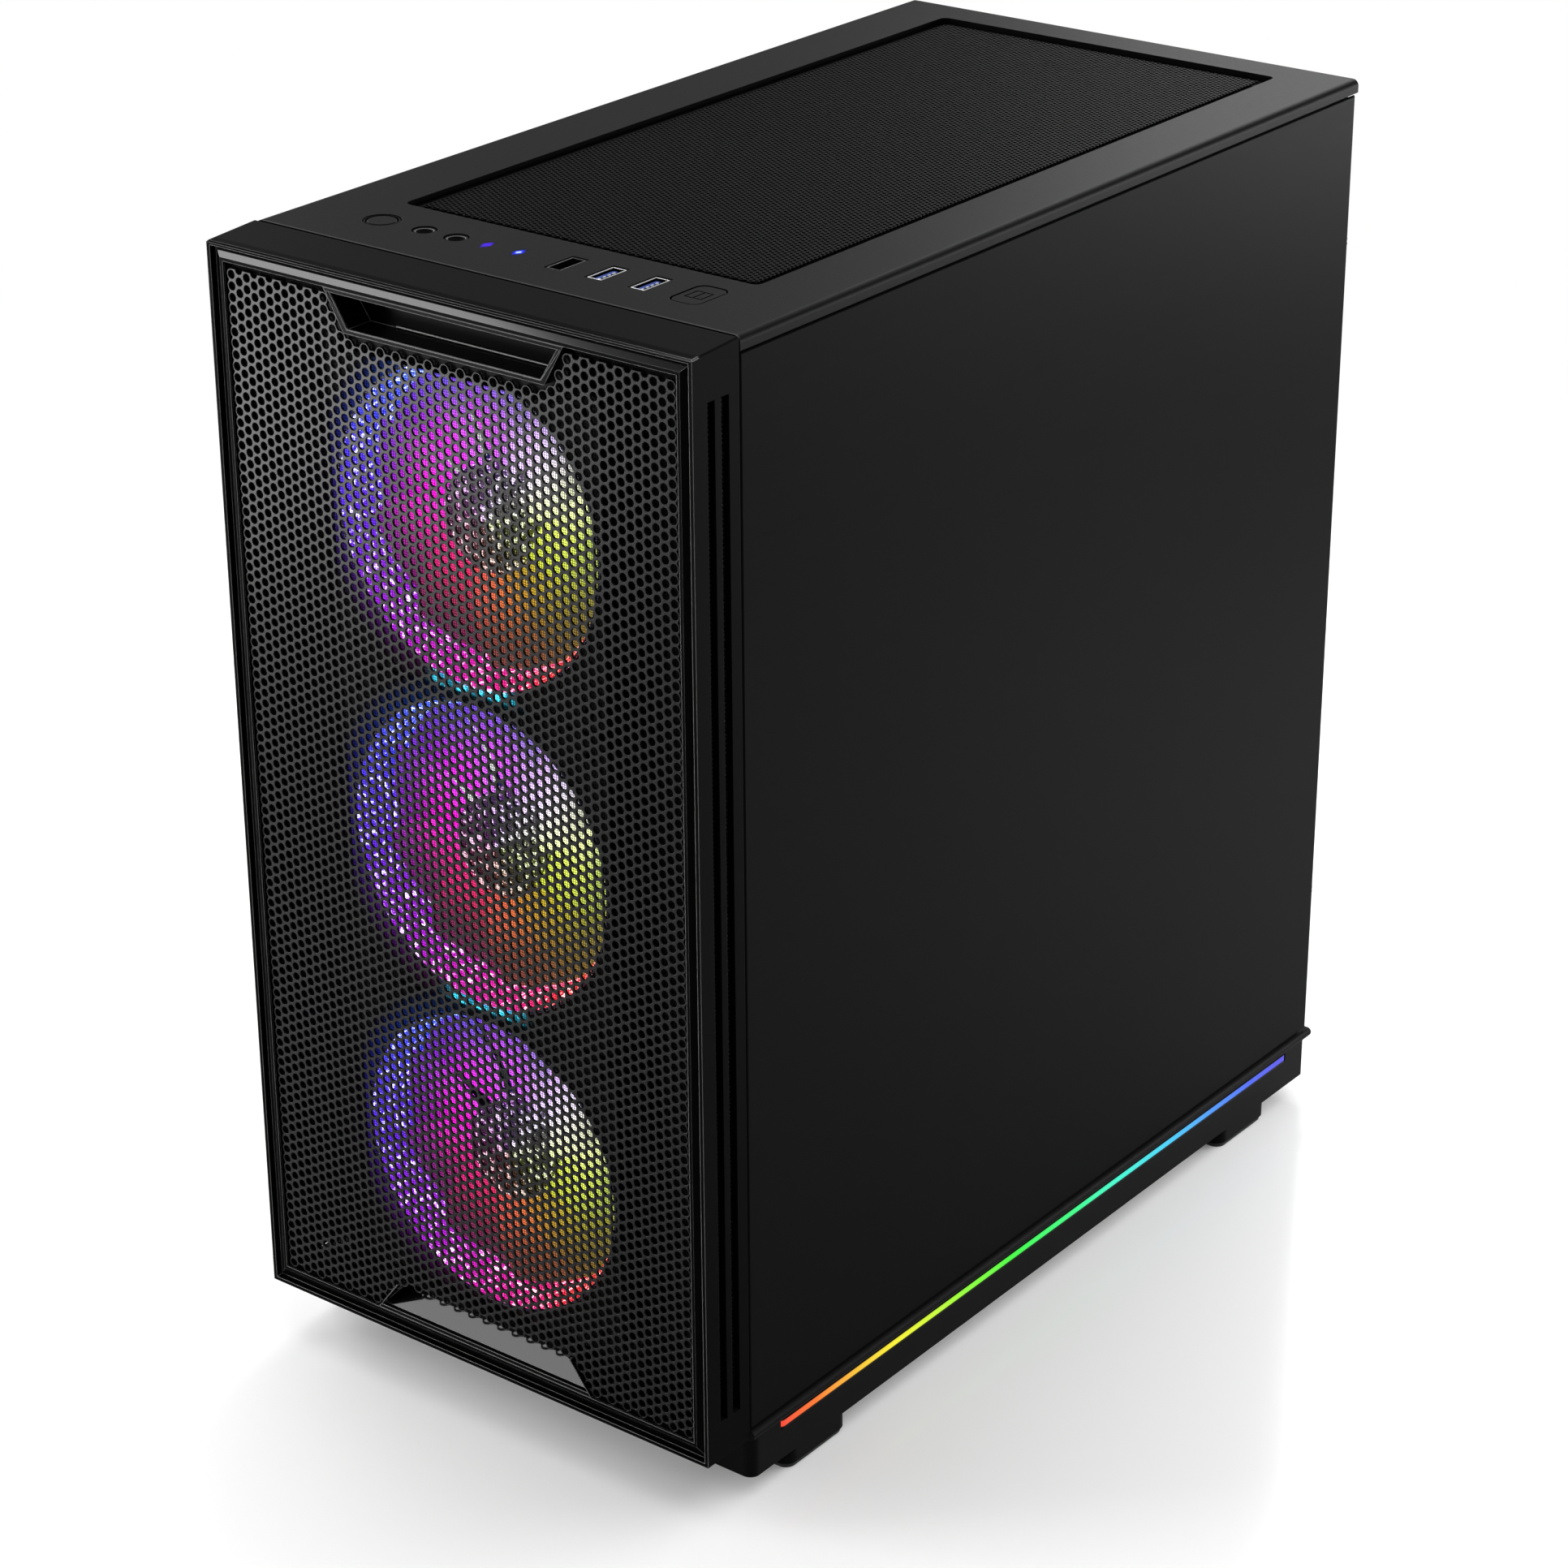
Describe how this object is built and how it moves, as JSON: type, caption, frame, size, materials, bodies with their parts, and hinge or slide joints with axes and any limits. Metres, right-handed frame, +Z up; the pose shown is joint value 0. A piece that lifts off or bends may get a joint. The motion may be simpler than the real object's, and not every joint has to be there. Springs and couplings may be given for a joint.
{
  "type": "desktop computer tower",
  "caption": "Upright computer case with a perforated front over lit fans, a filtered top with buttons and sockets, removable panels and a complete machine inside.",
  "frame": {"origin": "on the floor under the middle of the object's box", "axes": "+X to the right of the front, +Y from front to rear, +Z up"},
  "size_m": [0.212, 0.411, 0.436],
  "materials": {
    "satin_plastic": "satin",
    "gloss_plastic": "gloss",
    "mesh_metal": "satin",
    "filter_net": "matte",
    "panel_steel": "brushed",
    "chassis_steel": "matte",
    "tinted_glass": "gloss",
    "foot_rubber": "matte",
    "lit_plastic": "translucent",
    "frosted_plastic": "frosted",
    "fan_plastic": "matte",
    "circuit_board": "satin",
    "socket_plastic": "matte",
    "bright_metal": "brushed",
    "heatsink_metal": "satin",
    "dark_metal": "satin",
    "blue_plastic": "gloss",
    "screw_metal": "satin",
    "cable_sleeve": "matte"
  },
  "bodies": {
    "chassis": {"top_panel": "satin_plastic", "base_rail_right": "satin_plastic", "base_rail_left": "satin_plastic", "base_front_rail": "satin_plastic", "light_strips": "lit_plastic", "foot_pads": "foot_rubber", "floor_pan": "chassis_steel", "rear_panel": "chassis_steel", "roof_rails": "chassis_steel", "front_rails": "chassis_steel", "motherboard_tray": "chassis_steel", "supply_shroud": "chassis_steel", "io_board": "circuit_board", "audio_jacks": "socket_plastic", "indicator_windows": "lit_plastic", "plain_usb_socket": "socket_plastic", "blue_usb_shells": "bright_metal", "blue_usb_tongues": "blue_plastic", "motherboard": "circuit_board", "port_shield": "bright_metal", "rear_ports": "bright_metal", "board_sockets": "socket_plastic", "memory_modules": "dark_metal", "board_heatsinks": "dark_metal", "cooler_heatsink": "heatsink_metal", "graphics_board": "circuit_board", "graphics_shroud": "dark_metal", "slot_covers": "chassis_steel", "power_supply": "dark_metal", "mains_inlet": "socket_plastic", "storage_drive": "dark_metal", "power_cables": "cable_sleeve", "front_fan_top_frame": "fan_plastic", "front_fan_middle_frame": "fan_plastic", "front_fan_bottom_frame": "fan_plastic", "rear_fan_frame": "fan_plastic", "cooler_fan_frame": "fan_plastic"},
    "front_panel": {"front_bezel": "satin_plastic", "front_mesh": "mesh_metal", "front_filter": "filter_net", "upper_grip": "gloss_plastic", "lower_grip": "gloss_plastic"},
    "right_panel": {"right_side_panel": "panel_steel", "right_panel_screws": "screw_metal"},
    "left_panel": {"left_glass_panel": "tinted_glass", "left_panel_frame": "chassis_steel", "left_panel_screws": "screw_metal"},
    "top_dust_filter": {"top_filter": "filter_net"},
    "bottom_dust_filter": {"bottom_filter": "filter_net"},
    "power_key": {"power_button": "satin_plastic"},
    "lighting_key": {"lighting_button": "satin_plastic"},
    "rocker": {"mains_switch": "socket_plastic"},
    "graphics_fan_front": {"graphics_rotor_front": "fan_plastic"},
    "graphics_fan_rear": {"graphics_rotor_rear": "fan_plastic"},
    "supply_fan": {"supply_rotor": "fan_plastic"},
    "front_fan_top_spinner": {"front_fan_top_rotor": "frosted_plastic"},
    "front_fan_middle_spinner": {"front_fan_middle_rotor": "frosted_plastic"},
    "front_fan_bottom_spinner": {"front_fan_bottom_rotor": "frosted_plastic"},
    "rear_fan_spinner": {"rear_fan_rotor": "frosted_plastic"},
    "cooler_fan_spinner": {"cooler_fan_rotor": "frosted_plastic"}
  },
  "joints": [
    {"name": "front_panel_pull", "type": "slide", "parent": "chassis", "child": "front_panel", "axis": [0, -1, 0], "range_m": [0, 0.06]},
    {"name": "right_panel_slide", "type": "slide", "parent": "chassis", "child": "right_panel", "axis": [0, 1, 0], "range_m": [0, 0.018]},
    {"name": "left_panel_slide", "type": "slide", "parent": "chassis", "child": "left_panel", "axis": [0, 1, 0], "range_m": [0, 0.018]},
    {"name": "top_filter_lift", "type": "slide", "parent": "chassis", "child": "top_dust_filter", "axis": [0, 0, 1], "range_m": [0, 0.06]},
    {"name": "bottom_filter_pull", "type": "slide", "parent": "chassis", "child": "bottom_dust_filter", "axis": [0, 1, 0], "range_m": [0, 0.15]},
    {"name": "power_press", "type": "slide", "parent": "chassis", "child": "power_key", "axis": [0, 0, -1], "range_m": [0, 0.0015], "stiffness_N_per_m": 600},
    {"name": "lighting_press", "type": "slide", "parent": "chassis", "child": "lighting_key", "axis": [0, 0, -1], "range_m": [0, 0.0015], "stiffness_N_per_m": 600},
    {"name": "rocker_tip", "type": "hinge", "parent": "chassis", "child": "rocker", "pos_m": [0.044, 0.1931, 0.088], "axis": [1, 0, 0], "range_deg": [0, 16]},
    {"name": "graphics_front_spin", "type": "hinge", "parent": "chassis", "child": "graphics_fan_front", "pos_m": [0.008, 0.0065, 0.2], "axis": [0, 0, 1], "continuous": true},
    {"name": "graphics_rear_spin", "type": "hinge", "parent": "chassis", "child": "graphics_fan_rear", "pos_m": [0.008, 0.1165, 0.2], "axis": [0, 0, 1], "continuous": true},
    {"name": "supply_fan_spin", "type": "hinge", "parent": "chassis", "child": "supply_fan", "pos_m": [-0.005, 0.124, 0.04], "axis": [0, 0, 1], "continuous": true},
    {"name": "front_fan_top_spin", "type": "hinge", "parent": "chassis", "child": "front_fan_top_spinner", "pos_m": [0, -0.1855, 0.3516], "axis": [0, 1, 0], "continuous": true},
    {"name": "front_fan_middle_spin", "type": "hinge", "parent": "chassis", "child": "front_fan_middle_spinner", "pos_m": [0, -0.1855, 0.2303], "axis": [0, 1, 0], "continuous": true},
    {"name": "front_fan_bottom_spin", "type": "hinge", "parent": "chassis", "child": "front_fan_bottom_spinner", "pos_m": [0, -0.1855, 0.109], "axis": [0, 1, 0], "continuous": true},
    {"name": "rear_fan_spin", "type": "hinge", "parent": "chassis", "child": "rear_fan_spinner", "pos_m": [-0.03, 0.1815, 0.358], "axis": [0, 1, 0], "continuous": true},
    {"name": "cooler_fan_spin", "type": "hinge", "parent": "chassis", "child": "cooler_fan_spinner", "pos_m": [-0.02, 0.0605, 0.348], "axis": [0, 1, 0], "continuous": true}
  ]
}
